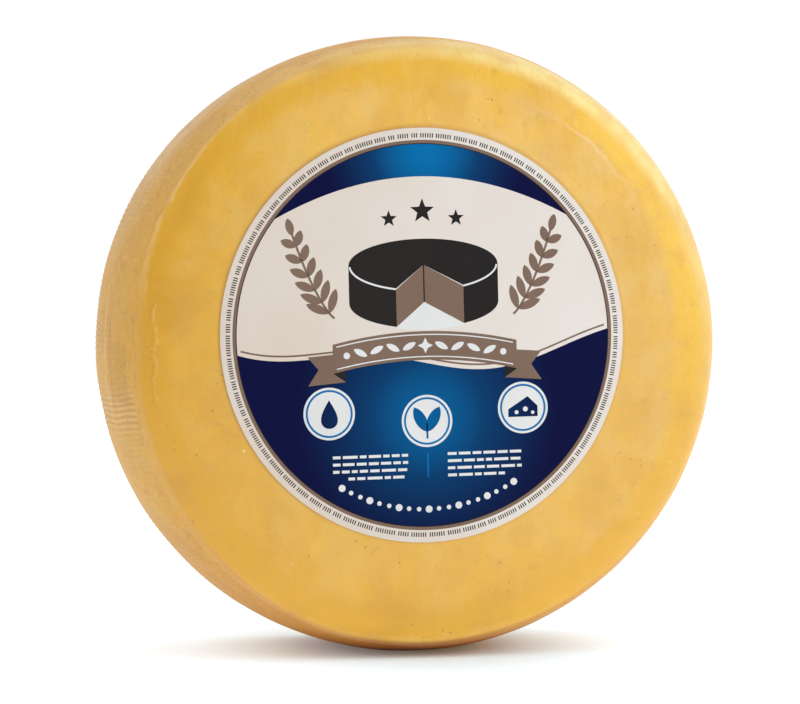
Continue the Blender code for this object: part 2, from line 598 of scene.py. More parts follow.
@dataclass(frozen=True)
class CheeseFinish:
    """Smooth, waxy golden cheese: golden inside its edge, paler inwards and tan on its side.

    Distances from the edge are in millimetres, positive inwards on a face. A ripple is a noise's
    scale, detail and full swing. A line is its number's name, its place and its outer and inner
    half widths.
    """

    name: str = "golden_cheese"
    edge_colours: tuple[tuple[float, Colour], ...] = (
        (-12.0, (219, 166, 61)),
        (-0.8, (226, 171, 60)),
        (1.4, GOLDEN_BAND),
        (7.0, GOLDEN_BAND),
        (13.0, (232, 177, 52)),
        (32.0, (233, 182, 71)),
    )
    ramp_start: float = -16.0
    ramp_length: float = 56.0
    border_ripple: Ripple = (60.0, 3.0, 9.0)
    border_reach: Limit = ("from_edge", 1.0, 8.0)
    border_raggedness: Ripple = (150.0, 3.0, 2.6)
    band_ripple: Ripple = (110.0, 3.0, 5.0)
    step_place: float = 1.4
    tones: tuple[Tone, ...] = (
        # Broken pale ridge on the edge: partly paler rind, partly a painted highlight on the crisp edge
        Tone((246, 204, 124), 1.0, (
            ("ridge",),
            ("border", -2.4, -1.2),
            ("border", 1.8, 0.8),
            Cloud(95.0, 2.0, 0.36, 0.58, 0.28, 0.78, shift=(0.5, 0.2, 0.6)),
        )),
        # Painted pale reflection of the bright surroundings on the far part of the side
        Tone((224, 202, 164), 0.50, (("painted_side_reflection",), ("from_edge", -14.0, -32.0))),
        # Painted highlight on the edge where it is worn round, at the upper right
        Tone((248, 230, 132), 1.0, (
            ("edge_highlight",),
            ("from_edge", 3.2, 0.8),
            ("from_edge", -14.0, -5.0),
            Cloud(130.0, 3.0, 0.3, 0.7, 0.55, 0.95),
        )),
        # Soft patches on the face
        Tone(PALE, 0.42, (
            ON_FACE,
            Cloud(72.0, 4.0, 0.40, 0.64, stretch=(1.0, 1.0, 0.7), distortion=0.5),
        )),
        Tone((244, 189, 48), 0.32, (
            ON_FACE,
            Cloud(78.0, 3.0, 0.48, 0.62, shift=(0.4, 0.2, 0.9), distortion=0.6),
        )),
        # Golden band inside the edge: painted light makes it brighter on the right; deep at the lower left,
        # paler low down
        Tone((246, 195, 32), 1.0, (
            ("lit_band",),
            ("from_edge", 0.6, 3.0),
            ("past_band", 2.2, -3.4),
            Cloud(110.0, 3.0, 0.30, 0.50, 0.25, 0.85, shift=(0.7, 0.1, 0.3)),
        )),
        Tone((234, 177, 8), 0.60, (("deep",), ("from_edge", 0.6, 2.2), ("from_edge", 17.0, 8.0))),
        Tone((1.09, 1.15, 1.16, 1.0), 1.0, (("low_edge",), ("from_edge", 9.0, 2.5), INSIDE_EDGE)),
        # Pale step at the end of the band
        Tone((252, 224, 150), 0.27, (("step",), ("off_step", 1.3, 0.0))),
        # Upright streaks near the top, and grain all over
        Tone(PALE, 1.0, (
            ("height", 0.17, 0.22, 0.04, 0.18),
            Cloud(250.0, 3.0, 0.52, 0.66, stretch=(1.0, 1.0, 0.20)),
        )),
        Tone((210, 152, 60), 0.12, (Cloud(700.0, 3.0, 0.35, 0.75),)),
        # Flecks and fine streaks on the side
        Tone((238, 200, 142), 0.20, (
            ON_SIDE,
            Cloud(520.0, 4.0, 0.48, 0.66, stretch=(1.0, 0.35, 1.0), distortion=0.6),
        )),
        Tone((190, 134, 66), 0.26, (("side_streaks",),)),
    )
    # Painted shade to the lower left and painted light to the upper right, then painted shade on the face's
    # flanks and painted light at its top and bottom
    lower_left_shade_tint: Tint = (1.0, 0.905, 0.61, 1.0)
    upper_right_light_tint: Tint = (1.035, 1.01, 1.34, 1.0)
    low_to_high: Band = (-0.02, 0.30)
    flank_shade_tint: Tint = (0.95, 0.945, 0.92, 1.0)
    crown_light_tint: Tint = (1.045, 1.06, 1.11, 1.0)
    flank_to_crown: Band = (-0.011, 0.011)
    middle_height: float = 0.1237
    dark_dots: float = 260.0
    speck_patches: tuple[float, float] = (90.0, 1.0)
    more_specks: Limit = ("height", 0.035, 0.010, 0.0, 0.10)
    light_dots: float = 140.0
    light_dots_shift: Triple = (0.3, 0.1, 0.7)
    label_centre: Spot = (-0.0031, 0.1275)
    side_streaks: tuple[Limit, ...] = (
        ON_SIDE,
        Cloud(620.0, 3.0, 0.50, 0.64, stretch=(1.0, 0.55, 0.24)),
        Cloud(90.0, 2.0, 0.38, 0.58, 0.25, 1.0, shift=(0.1, 0.8, 0.4)),
    )
    smudges: tuple[Limit, ...] = (
        ("from_edge", 3.0, 7.0),
        Cloud(150.0, 2.0, 0.60, 0.68, stretch=(1.0, 1.0, 1.6), shift=(0.6, 0.3, 0.8)),
        Cloud(55.0, 2.0, 0.50, 0.60, shift=(0.2, 0.9, 0.5)),
    )
    crease_ripple: Ripple = (85.0, 3.0, 0.0110)
    crease_lines: tuple[Line, ...] = (
        ("fold", -0.1086, 0.0010, 0.0002),
        ("shaded_fold_groove", -0.1102, 0.0012, 0.0002),
    )
    crease_limits: tuple[Limit, ...] = (
        ("height", 0.0980, 0.1020),
        ("height", 0.1420, 0.1380),
        ("depth", -0.030, -0.038),
        Cloud(330.0, 2.0, 0.40, 0.56, 0.15, 1.0, shift=(0.2, 0.5, 0.1)),
    )
    seam_ripple: Ripple = (60.0, 2.0, 0.003)
    seam_lines: tuple[Line, ...] = (
        ("groove", -0.0205, 0.0018, 0.0004),
        ("seam_ridge", -0.0140, 0.0018, 0.0004),
    )
    seam_limits: tuple[Limit, ...] = (
        ("height", 0.078, 0.108),
        ("height", 0.158, 0.126),
        ("across", -0.10, -0.11),
    )
    cloth_limit: Limit = ("across", -0.09, -0.10)
    cloth_centre: Spot = (-0.0275, 0.1125)
    cloth_fades: tuple[Band, Band] = ((0.0105, 0.0065), (0.0140, 0.0095))
    cloth_pitches: tuple[float, float] = (0.0030, 0.0022)
    cloth_bends: tuple[float, float] = (0.007, 0.002)
    cloth_ripple: Ripple = (260.0, 3.0, 0.010)
    marks: tuple[Tone, ...] = (
        # Dark and light specks
        Tone((190, 112, 26), 0.6, (("dark_dots", 0.17, 0.08), ("speck_gate", 0.60, 0.68))),
        Tone((255, 236, 176), 0.45, (
            ("light_dots", 0.12, 0.05),
            Cloud(60.0, 1.0, 0.61, 0.67, shift=(0.9, 0.4, 0.2)),
        )),
        # Crests and grooves of the ribs: paler worn crests that also carry a painted highlight, and painted
        # shade in the grooves
        Tone((238, 202, 148), 0.50, (("crest",),)),
        Tone((196, 136, 52), 0.65, (("groove_shade",),)),
        # Crease, with painted shade in the groove beside it; seam; and the cloth's print
        Tone((246, 206, 112), 0.32, (("fold",),)),
        Tone((210, 148, 40), 0.30, (("shaded_fold_groove",),)),
        Tone((188, 130, 50), 0.36, (("groove",),)),
        Tone((244, 200, 132), 0.32, (("seam_ridge",),)),
        Tone((190, 136, 46), 0.62, (("weave",),)),
        # Painted shadow close round the label's edge
        Tone((200, 138, 60), 0.35, (("from_label", 0.0828, 0.0812), ("depth", -0.030, -0.040))),
        # Painted shade on the foot of the side, and a painted contact shadow along the line where it stands
        Tone((0.86, 0.74, 0.46, 1.0), 1.0, (("height", 0.075, 0.005), PAST_EDGE)),
        Tone((166, 86, 0), 0.85, (("height", 0.0115, 0.0025), PAST_EDGE)),
        Tone((88, 36, 0), 0.90, (("height", 0.0036, 0.0008),)),
        # Faint smudges
        Tone((200, 158, 70), 0.32, (("smudge",),)),
    )
    relief: tuple[tuple[str, float], ...] = (
        ("coarse", 1.0),
        ("fine", 0.35),
        ("fold", 0.6),
        ("shaded_fold_groove", -0.6),
        ("smudge", -0.15),
        ("side_streaks", -1.0),
        ("weave", -0.4),
    )
    relief_depth: float = 0.00025
    roughness: Limit = ("from_edge", -4.0, -0.5, 0.66, 0.38)
    rough_patches: Cloud = Cloud(180.0, 2.0, 0.25, 0.75, -0.05, 0.08)
    shine: float = 0.75
    dull_foot: tuple[Limit, ...] = (("height", 0.022, 0.004, 0.0, 0.70), ON_SIDE)

    def note_numbers(self, graph: Graph) -> None:
        """Note the numbers that the tones and the relief are limited by.

        Args:
            graph: The material's node tree.
        """
        across, depth, height = graph.axes()
        graph.numbers.update(across=across, depth=depth, height=height)
        distance = graph.number("from_edge")
        reach = graph.shows(self.border_reach)
        border = graph.maths("MULTIPLY_ADD", graph.ripple(*self.border_ripple), reach, distance)
        border = graph.maths("ADD", graph.ripple(*self.border_raggedness), border)
        past_band = graph.maths("SUBTRACT", distance, graph.number("band_reach"))
        past_band = graph.maths("ADD", graph.ripple(*self.band_ripple), past_band)
        patches = graph.noise(graph.place(), *self.speck_patches)
        graph.numbers.update(
            border=border,
            past_band=past_band,
            off_step=graph.gap(past_band, self.step_place),
            from_label=graph.away_in_face(*self.label_centre),
            dark_dots=graph.dots(self.dark_dots),
            speck_gate=graph.maths("ADD", patches, graph.shows(self.more_specks)),
            light_dots=graph.dots(self.light_dots, self.light_dots_shift),
            side_streaks=graph.shows(*self.side_streaks),
            smudge=graph.shows(*self.smudges),
            weave=self.cloth_print(graph),
            coarse=graph.noise(graph.place(), 260.0, 3.0),
            fine=graph.noise(graph.place(), 700.0, 3.0),
        )
        crease = graph.maths("SUBTRACT", across, graph.ripple(*self.crease_ripple, BY_HEIGHT))
        self.note_lines(graph, crease, self.crease_limits, self.crease_lines)
        seam = graph.maths("ADD", graph.ripple(*self.seam_ripple, BY_HEIGHT), depth)
        self.note_lines(graph, seam, self.seam_limits, self.seam_lines)

    @staticmethod
    def note_lines(graph: Graph, where: Socket, limits: Sequence[Limit], lines: Sequence[Line]) -> None:
        """Note thin wavy lines as numbers from 0 to 1.

        Args:
            graph: The material's node tree.
            where: A coordinate across the lines, with their waves taken off.
            limits: Limits of the part where they show.
            lines: The lines.
        """
        shows = graph.shows(*limits)
        for name, place, outer, inner in lines:
            graph.numbers[name] = graph.product(graph.span(graph.gap(where, place), outer, inner), shows)

    def cloth_print(self, graph: Graph) -> Socket:
        """The weave that a cloth has left on a small patch on the left of the side.

        Args:
            graph: The material's node tree.

        Returns:
            The weave, from 0 to 1.
        """
        weave: object = 1.0
        shows = graph.shows(self.cloth_limit)
        ways = (graph.number("depth"), graph.number("height"))
        parts = zip(ways, self.cloth_pitches, self.cloth_bends, self.cloth_centre, self.cloth_fades)
        for way, pitch, bend, middle, fade in parts:
            bent = graph.maths("MULTIPLY_ADD", graph.noise(graph.place(), 120.0, 2.0), bend, way)
            weave = graph.product(weave, graph.maths("SINE", graph.product(bent, math.tau / pitch)))
            ragged = graph.maths("ADD", graph.gap(way, middle), graph.ripple(*self.cloth_ripple))
            shows = graph.product(shows, graph.span(ragged, *fade))
        return graph.product(graph.maths("MULTIPLY_ADD", weave, 0.5, 0.5), shows)

    def ground(self, graph: Graph) -> Socket:
        """The colour by distance from the edge.

        Args:
            graph: The material's node tree.

        Returns:
            The colour, below all tones.
        """
        along = graph.maths("SUBTRACT", graph.number("border"), self.ramp_start)
        along = graph.maths("DIVIDE", along, self.ramp_length, clamp=True)
        stops = [
            ((place - self.ramp_start) / self.ramp_length, colour)
            for place, colour in self.edge_colours
        ]
        return graph.ramp(along, stops)

    def paint_light_and_shade(self, graph: Graph, colour: Socket) -> Socket:
        """Paint shade to the lower left and light to the upper right, and a little painted shade on the
        face's left and right with painted light at its top and bottom.

        Args:
            graph: The material's node tree.
            colour: The colour so far.

        Returns:
            The new colour.
        """
        across, up = graph.number("across"), graph.number("height")
        high = graph.span(graph.maths("ADD", across, up), *self.low_to_high)
        colour = graph.mix(1.0, colour, graph.mix(high, self.lower_left_shade_tint, self.upper_right_light_tint), "MULTIPLY")
        up = graph.maths("SUBTRACT", up, self.middle_height)
        balance = graph.maths("SUBTRACT", graph.product(up, up), graph.product(across, across))
        tint = graph.mix(graph.span(balance, *self.flank_to_crown), self.flank_shade_tint, self.crown_light_tint)
        return graph.mix(graph.shows(INSIDE_EDGE), colour, graph.mix(1.0, colour, tint, "MULTIPLY"))

    def material(self) -> bpy.types.Material:
        """The finished material.

        Returns:
            The material.
        """
        graph = Graph(bpy.data.materials.new(self.name))
        self.note_numbers(graph)
        colour = graph.lay(self.ground(graph), *self.tones)
        colour = graph.lay(self.paint_light_and_shade(graph, colour), *self.marks)
        height: object = 0.0
        for name, share in self.relief:
            height = graph.maths("MULTIPLY_ADD", graph.number(name), share, height)
        graph.set_shader(
            Base_Color=colour,
            Roughness=graph.maths("ADD", graph.shows(self.roughness), graph.shows(self.rough_patches)),
            Normal=graph.bump(height, self.relief_depth, 0.6),
            Specular_IOR_Level=graph.maths("SUBTRACT", self.shine, graph.shows(*self.dull_foot)),
            Sheen_Weight=0.05,
            Sheen_Roughness=0.5,
            Subsurface_Weight=0.10,
            Subsurface_Radius=(0.006, 0.003, 0.001),
            Subsurface_Scale=1.0,
        )
        return graph.owner


def paper_material(graph: Graph, colour: Socket, roughness: float) -> bpy.types.Material:
    """Give a material the surface of printed paper, with its fine fibres.

    Args:
        graph: The material's node tree.
        colour: Colour of the paper or the ink.
        roughness: Its mean roughness.

    Returns:
        The finished material.
    """
    fibres = graph.noise(graph.place(), 1600.0, 2.0)
    graph.set_shader(
        Base_Color=colour,
        Roughness=graph.span(fibres, 0.3, 0.7, roughness - 0.05, roughness + 0.08),
        Normal=graph.bump(fibres, 0.00002, 0.4),
        Specular_IOR_Level=0.06,
    )
    return graph.owner


@dataclass(frozen=True)
class PrintFinish:
    """Smooth printed paper of one ink, with the slight unevenness of print and, where asked, painted shade
    towards the left.
    """

    name: str
    ink: Colour
    uneven_ink: Colour
    roughness: float = 0.58
    shaded_to_left: bool = False
    patches: Cloud = Cloud(30.0, 2.0, 0.3, 0.7)

    def material(self) -> bpy.types.Material:
        """The finished material, with painted shade that darkens and warms it towards the left where that
        is asked for.

        Returns:
            The material.
        """
        graph = Graph(bpy.data.materials.new(self.name))
        share = graph.shows(self.patches)
        # Painted shade: darker and warmer towards the left
        if self.shaded_to_left:
            left = graph.span(graph.axes()[0], 0.04, -0.07, 0.0, 0.7)
            share = graph.maths("MULTIPLY_ADD", share, 0.3, left)
        colour = graph.mix(share, linear(self.ink), linear(self.uneven_ink))
        return paper_material(graph, colour, self.roughness)


@dataclass(frozen=True)
class Glow:
    """A lighter glow round a spot of the face, in dark print."""

    across: float
    up: float
    reach: float
    strength: float


@dataclass(frozen=True)
class GlowFinish:
    """Dark print with a lighter glow round some spots."""

    name: str
    dark: Colour
    middle: Colour
    light: Colour
    glows: tuple[Glow, ...]
    roughness: float = 0.58

    def material(self) -> bpy.types.Material:
        """The finished material.

        Returns:
            The material.
        """
        graph = Graph(bpy.data.materials.new(self.name))
        light: object = 0.0
        for glow in self.glows:
            near = graph.span(graph.away_in_face(glow.across, glow.up), glow.reach, 0.0, 0.0, glow.strength)
            light = graph.maths("ADD", light, near, clamp=True)
        colour = graph.ramp(light, ((0.0, self.dark), (0.5, self.middle), (1.0, self.light)))
        return paper_material(graph, colour, self.roughness)


@dataclass
class CheeseWheel:
    """The uncut wheel of cheese, with the relief that its mould and handling left."""

    form: WheelForm
    name: str = "cheese_wheel_detail"
    ribs: int = 336
    rib_depth: float = 0.42 * MM
    rib_wander: Lumps = Lumps(0.012, 9.0, 0.30)
    rib_patches: Lumps = Lumps(0.022, 3.0, 0.85)
    clear_ribs: Swell = Swell(192.2, 4.2, 1.3)
    upper_ribs: Swell = Swell(150.0, 28.0, 0.95)
    right_ribs: Swell = Swell(-28.0, 9.0, 0.8)
    lip_height: float = 0.16 * MM
    lip_patches: Lumps = Lumps(0.045, 5.0, 0.8)
    seam_height: float = 0.08 * MM
    seam_place: float = 13.5 * MM
    seam_shows: Swell = Swell(182.0, 17.0, 0.75)
    edge_lumps: Lumps = Lumps(0.019, 6.0, 0.30 * MM)
    large_face_lumps: Lumps = Lumps(0.021, 1.0, 0.09 * MM)
    small_face_lumps: Lumps = Lumps(0.0065, 2.0, 0.035 * MM)
    side_lumps: Lumps = Lumps(0.016, 8.0, 0.10 * MM)
    sink: float = 0.12 * MM
    pits: int = 90
    crisp_parts: tuple[Swell, ...] = (Swell(146.0, 26.0), Swell(200.0, 34.0, 0.7))
    crisp_share: float = 0.60
    worn_spread: float = 0.60
    worn_zone: float = 6.0
    lower_left: Swell = Swell(-118.0, 24.0, 1.3)
    toned_parts: tuple[tuple[str, Swell], ...] = (
        # Where the painted highlight on the worn-round edge shows
        ("edge_highlight", Swell(56.0, 50.0)),
        # Where painted light brightens the golden band
        ("lit_band", Swell(26.0, 52.0)),
        # Where the painted reflection on the far part of the side shows
        ("painted_side_reflection", Swell(138.0, 20.0)),
        ("low_edge", Swell(-88.0, 26.0)),
        ("deep", Swell(-150.0, 36.0)),
        ("step", Swell(49.0, 12.0)),
    )
    # Where the pale ridge, partly a painted highlight, shows round the wheel
    ridge_parts: tuple[Swell, ...] = (Swell(153.0, 21.0), Swell(-92.0, 24.0, 0.50))
    band_width: float = 9.5
    band_widening: Swell = Swell(-6.0, 30.0, 4.5)
    label_centre: Spot = (-0.0031, 0.0036)
    covered_radius: float = 0.079
    finish: CheeseFinish = field(default_factory=CheeseFinish)

    def outline(self) -> list[Spot]:
        """Half section of the true wheel.

        Returns:
            Its points as (radius, depth), from the front centre to the back centre.
        """
        form = self.form
        last = form.edge_radius - form.round_on_face
        front_radii = np.concatenate((
            (0.0, 0.022, 0.042, 0.058, 0.068),
            np.linspace(0.073, 0.100, 15),
            np.linspace(0.1011, last, 10)[:-1],
        ))
        back_radii = np.concatenate((np.linspace(0.0, 0.100, 14), (0.1040, 0.1075)))
        reach = form.edge_depth - form.round_on_side
        depths = np.concatenate((
            reach - np.array((1.1, 2.3, 3.7, 5.6)) * MM,
            np.linspace(0.0345, 0.0180, 5),
            self.seam_place + np.array((2.2, 1.1, 0.5, 0.0, -0.5, -1.1, -2.2)) * MM,
            np.linspace(0.0085, -0.0375, 13),
        ))
        front = [(radius, float(form.face_depth(radius))) for radius in front_radii]
        side = [(float(form.side_radius(depth)), depth) for depth in depths]
        back_arc = [(radius, -depth) for radius, depth in reversed(self.edge_arc(6))]
        back = [(radius, -float(form.face_depth(radius))) for radius in back_radii[::-1]]
        return front + self.edge_arc(14) + side + back_arc + back

    def edge_arc(self, steps: int) -> list[Spot]:
        """Points of the front's rounded edge as (radius, depth), from the face to the side.

        Args:
            steps: Number of steps between them.

        Returns:
            The points.
        """
        form = self.form
        first_radius = form.edge_radius - form.round_on_face
        last_depth = form.edge_depth - form.round_on_side
        start = Vector((first_radius, form.face_depth(first_radius)))
        corner = Vector((form.edge_radius, form.edge_depth))
        end = Vector((form.side_radius(last_depth), last_depth))
        shares = [step / steps for step in range(steps + 1)]
        return [tuple(start.lerp(corner, t).lerp(corner.lerp(end, t), t)) for t in shares]

    def spin_body(self) -> Piece:
        """Extrude a point along the outline, spin it about the axis and double the side's columns.

        Returns:
            The true wheel round the world's origin, as a closed mesh.
        """
        outline = self.outline()
        select_only()
        bpy.ops.mesh.primitive_plane_add(size=MM, location=(0.0, -outline[0][1], 0.0))
        wheel = bpy.context.active_object
        wheel.name = self.name
        select_only(wheel)
        bpy.ops.object.transform_apply(location=True, rotation=True, scale=True)
        with editing(wheel):
            bpy.ops.mesh.merge(type="CENTER")
            for (radius, depth), (next_radius, next_depth) in zip(outline, outline[1:]):
                step = (next_radius - radius, depth - next_depth, 0.0)
                bpy.ops.mesh.extrude_region_move(TRANSFORM_OT_translate={"value": step})
            bpy.ops.mesh.select_all(action="SELECT")
            bpy.ops.mesh.spin(steps=2 * self.ribs, angle=math.tau, center=UNMOVED, axis=(0.0, 1.0, 0.0))
            bpy.ops.mesh.select_all(action="SELECT")
            bpy.ops.mesh.remove_doubles(threshold=MERGE_DISTANCE)
            bpy.ops.mesh.normals_make_consistent(inside=False)
        self.double_columns(wheel)
        return wheel

    def double_columns(self, wheel: Piece) -> None:
        """Halve every edge that runs round the side, so that each rib has four columns.

        Args:
            wheel: The wheel as it was spun.
        """
        reach = self.form.edge_depth - self.form.round_on_side + 0.01 * MM
        same_ring = 0.001 * MM
        with editing(wheel, "EDGE") as mesh:
            bpy.ops.mesh.select_all(action="DESELECT")
            for edge in mesh.edges:
                first, second = (vert.co.y for vert in edge.verts)
                edge.select = abs(first - second) < same_ring and abs(first) < reach
            bmesh.update_edit_mesh(wheel.data)
            bpy.ops.mesh.subdivide(number_cuts=1)

    def crispness(self, angles: Array) -> Array:
        """How crisp the edge is at each angle, from 0 where it is worn round to 1."""
        return highest(self.crisp_parts, angles)

    def from_edge(self, radii: Array, depths: Array) -> Array:
        """Distance from the wheel's edge, positive inwards on a face and negative on the side."""
        form = self.form
        return np.maximum(0.0, form.edge_radius - radii) - np.maximum(0.0, form.edge_depth - np.abs(depths))

    def sharpen(self, radii: Array, depths: Array, angles: Array) -> Pair:
        """Draw the rounded edge out towards its corner where the edge is crisp.

        Args:
            radii: Distance of each point of the true wheel from its axis.
            depths: Depth of each point from the middle plane.
            angles: Angle of each point round the wheel.

        Returns:
            The new radii and depths.
        """
        form = self.form
        near = bell(self.from_edge(radii, depths), 0.4 * MM, 2.4 * MM)
        share = self.crisp_share * self.crispness(angles) * near
        corner_depths = np.sign(depths) * form.edge_depth
        return radii + share * (form.edge_radius - radii), depths + share * (corner_depths - depths)

    def edge_distance(self, radii: Array, depths: Array, angles: Array) -> Array:
        """Distance from the edge for its colours, drawn in where the edge is worn round.

        Args:
            radii: Distance of each point of the true wheel from its axis.
            depths: Depth of each point from the middle plane.
            angles: Angle of each point round the wheel.

        Returns:
            One distance a point, in millimetres.
        """
        distance = self.from_edge(radii, depths) / MM
        worn_share = self.worn_spread * (1.0 - self.crispness(angles))
        drawn_in = np.sign(distance) * np.minimum(np.abs(distance), self.worn_zone) * worn_share
        return distance - drawn_in + self.lower_left.at(angles)

    def rib_crests(self, points: Array, angles: Array) -> Array:
        """The ribs' wave round the wheel at each point, from 0 in a groove to 1 on a crest."""
        wandering = angles + self.rib_wander.at(points)
        return (0.5 + 0.5 * np.cos(np.radians(self.ribs * wandering))) ** 0.7

    def rib_strength(self, points: Array, depths: Array, angles: Array) -> Array:
        """How strongly the ribs show, from 0 to 1: clear on the back half, faint elsewhere.

        Args:
            points: Places in space, one a row.
            depths: Depth of each point from the middle plane.
            angles: Angle of each point round the wheel.

        Returns:
            One strength a point.
        """
        patchy = np.clip(0.35 + self.rib_patches.at(points), 0.06, 1.0)
        softly_patchy = 0.6 + 0.4 * patchy
        strength = np.maximum.reduce((
            0.20 * patchy,
            smooth_step(depths, 0.004, -0.008) * patchy,
            self.clear_ribs.at(angles) * softly_patchy,
            self.upper_ribs.at(angles) * smooth_step(depths, -0.004, -0.013) * softly_patchy,
            self.right_ribs.at(angles),
        ))
        return strength * smooth_step(self.form.edge_depth - np.abs(depths), 3.4 * MM, 6.5 * MM)

    def relief(self, radii: Array, depths: Array, angles: Array, points: Array) -> Array:
        """Height of the fine relief at each point, along the surface's normal.

        Args:
            radii: Distance of each point of the true wheel from its axis.
            depths: Depth of each point from the middle plane.
            angles: Angle of each point round the wheel.
            points: Places in space, one a row.

        Returns:
            One height a point, in metres.
        """
        form = self.form
        below_edge = form.edge_depth - np.abs(depths)
        on_side = (below_edge > 0.0) & (radii > form.edge_radius - form.round_on_face)
        waviness = 1.0 - self.rib_crests(points, angles)
        ribs = -self.rib_depth * waviness * self.rib_strength(points, depths, angles)
        seam_shows = 0.25 + self.seam_shows.at(angles)
        seam = self.seam_height * bell(depths, self.seam_place, 0.8 * MM) * seam_shows
        lumps = (self.side_lumps.at(points) - self.sink) * smooth_step(below_edge, 0.001, 0.006)
        side = np.where(on_side, ribs + seam + lumps, 0.0)
        edge_distance = self.from_edge(radii, depths)
        lip_shows = np.clip(0.55 + self.lip_patches.at(points), 0.1, 1.0) * self.crispness(angles)
        lip = self.lip_height * lip_shows * bell(edge_distance, 0.4 * MM, 1.0 * MM)
        lip += self.edge_lumps.at(points) * bell(edge_distance, 0.5 * MM, 4.0 * MM)
        label_across, label_up = self.label_centre
        from_label = np.hypot(points[:, 0] - label_across, points[:, 2] - form.axis_height() - label_up)
        beside_label = smooth_step(from_label, self.covered_radius, self.covered_radius + 0.006)
        bare = np.where(depths > 0.0, beside_label, 1.0)
        on_face = smooth_step(form.edge_radius - radii, 0.001, 0.006) * bare
        face = on_face * (self.large_face_lumps.at(points) + self.small_face_lumps.at(points) - self.sink)
        return side + lip + face + self.dents(points) * np.where(on_side, 1.0, on_face)

    def dents(self, points: Array) -> Array:
        """Small pits scattered over the cheese.

        Args:
            points: Places in space, one a row.

        Returns:
            One height a point, in metres.
        """
        draw = random.Random(11)
        heights = np.zeros(len(points))
        for _ in range(self.pits):
            angle = draw.uniform(0.0, 360.0)
            spread = draw.random()
            pit_radius = draw.uniform(0.5, 1.3) * MM
            pit_depth = draw.uniform(0.06, 0.20) * MM
            front = 1.0 if draw.random() < 0.6 else -1.0
            if spread < 0.7:
                radius = draw.uniform(0.086, 0.114)
                depth = front * self.form.face_depth(radius)
            else:
                depth = draw.uniform(-0.040, 0.040)
                radius = self.form.side_radius(depth)
            distance = np.linalg.norm(points - self.form.place(radius, depth, angle), axis=1)
            near = distance < 4.0 * pit_radius
            heights[near] -= pit_depth * bell(distance[near], 0.0, pit_radius)
        return heights

    @staticmethod
    def store_looks(wheel: Piece, looks: dict[str, Array]) -> None:
        """Keep numbers on the mesh's vertices, for its material to read.

        Args:
            wheel: The cheese.
            looks: One number a vertex, by the name that the material reads.
        """
        for name, values in looks.items():
            attribute = wheel.data.attributes.new(name, "FLOAT", "POINT")
            attribute.data.foreach_set("value", values.astype(np.float32))

    def build(self) -> Piece:
        """Build the wheel's mesh.

        Returns:
            The cheese, in place, with the numbers on its vertices that its material reads.
        """
        wheel = self.spin_body()
        across, depths, up = points_of(wheel).T * np.array((1.0, -1.0, 1.0))[:, None]
        radii = np.hypot(across, up)
        angles = np.degrees(np.arctan2(up, across))
        points = self.form.place(*self.form.uneven(*self.sharpen(radii, depths, angles), angles), angles)
        move_points(wheel, points)
        normals = np.empty(points.size)
        wheel.data.vertex_normals.foreach_get("vector", normals)
        heights = self.relief(radii, depths, angles, points)
        points = points + normals.reshape(-1, 3) * heights[:, None]
        points[:, 2] = np.maximum(points[:, 2], 0.0)
        move_points(wheel, points)
        crests = self.rib_crests(points, angles) * self.rib_strength(points, depths, angles)
        looks = {name: part.at(angles) for name, part in self.toned_parts}
        looks["from_edge"] = self.edge_distance(radii, depths, angles)
        looks["band_reach"] = self.band_width + self.band_widening.at(angles)
        looks["ridge"] = highest(self.ridge_parts, angles)
        # Rib crests for a paler colour and painted highlight, and the relief's deep parts for painted shade
        looks["crest"] = np.where(np.abs(depths) < self.form.edge_depth, crests, 0.0)
        looks["groove_shade"] = np.clip(-heights / (0.35 * MM) - 0.35, 0.0, 1.0)
        self.store_looks(wheel, looks)
        select_only(wheel)
        bpy.ops.object.shade_smooth()
        return wheel

    def make(self) -> None:
        """Build, dress and place the cheese."""
        place_piece(self.build(), Slot.CHEESE, self.finish.material(), "cheese_wheel")


def turned(across: Numbers, up: Numbers, angle: float) -> tuple[Numbers, Numbers]:
    """Places in a plane, turned about its origin by an angle."""
    cosine, sine = math.cos(math.radians(angle)), math.sin(math.radians(angle))
    return across * cosine - up * sine, across * sine + up * cosine


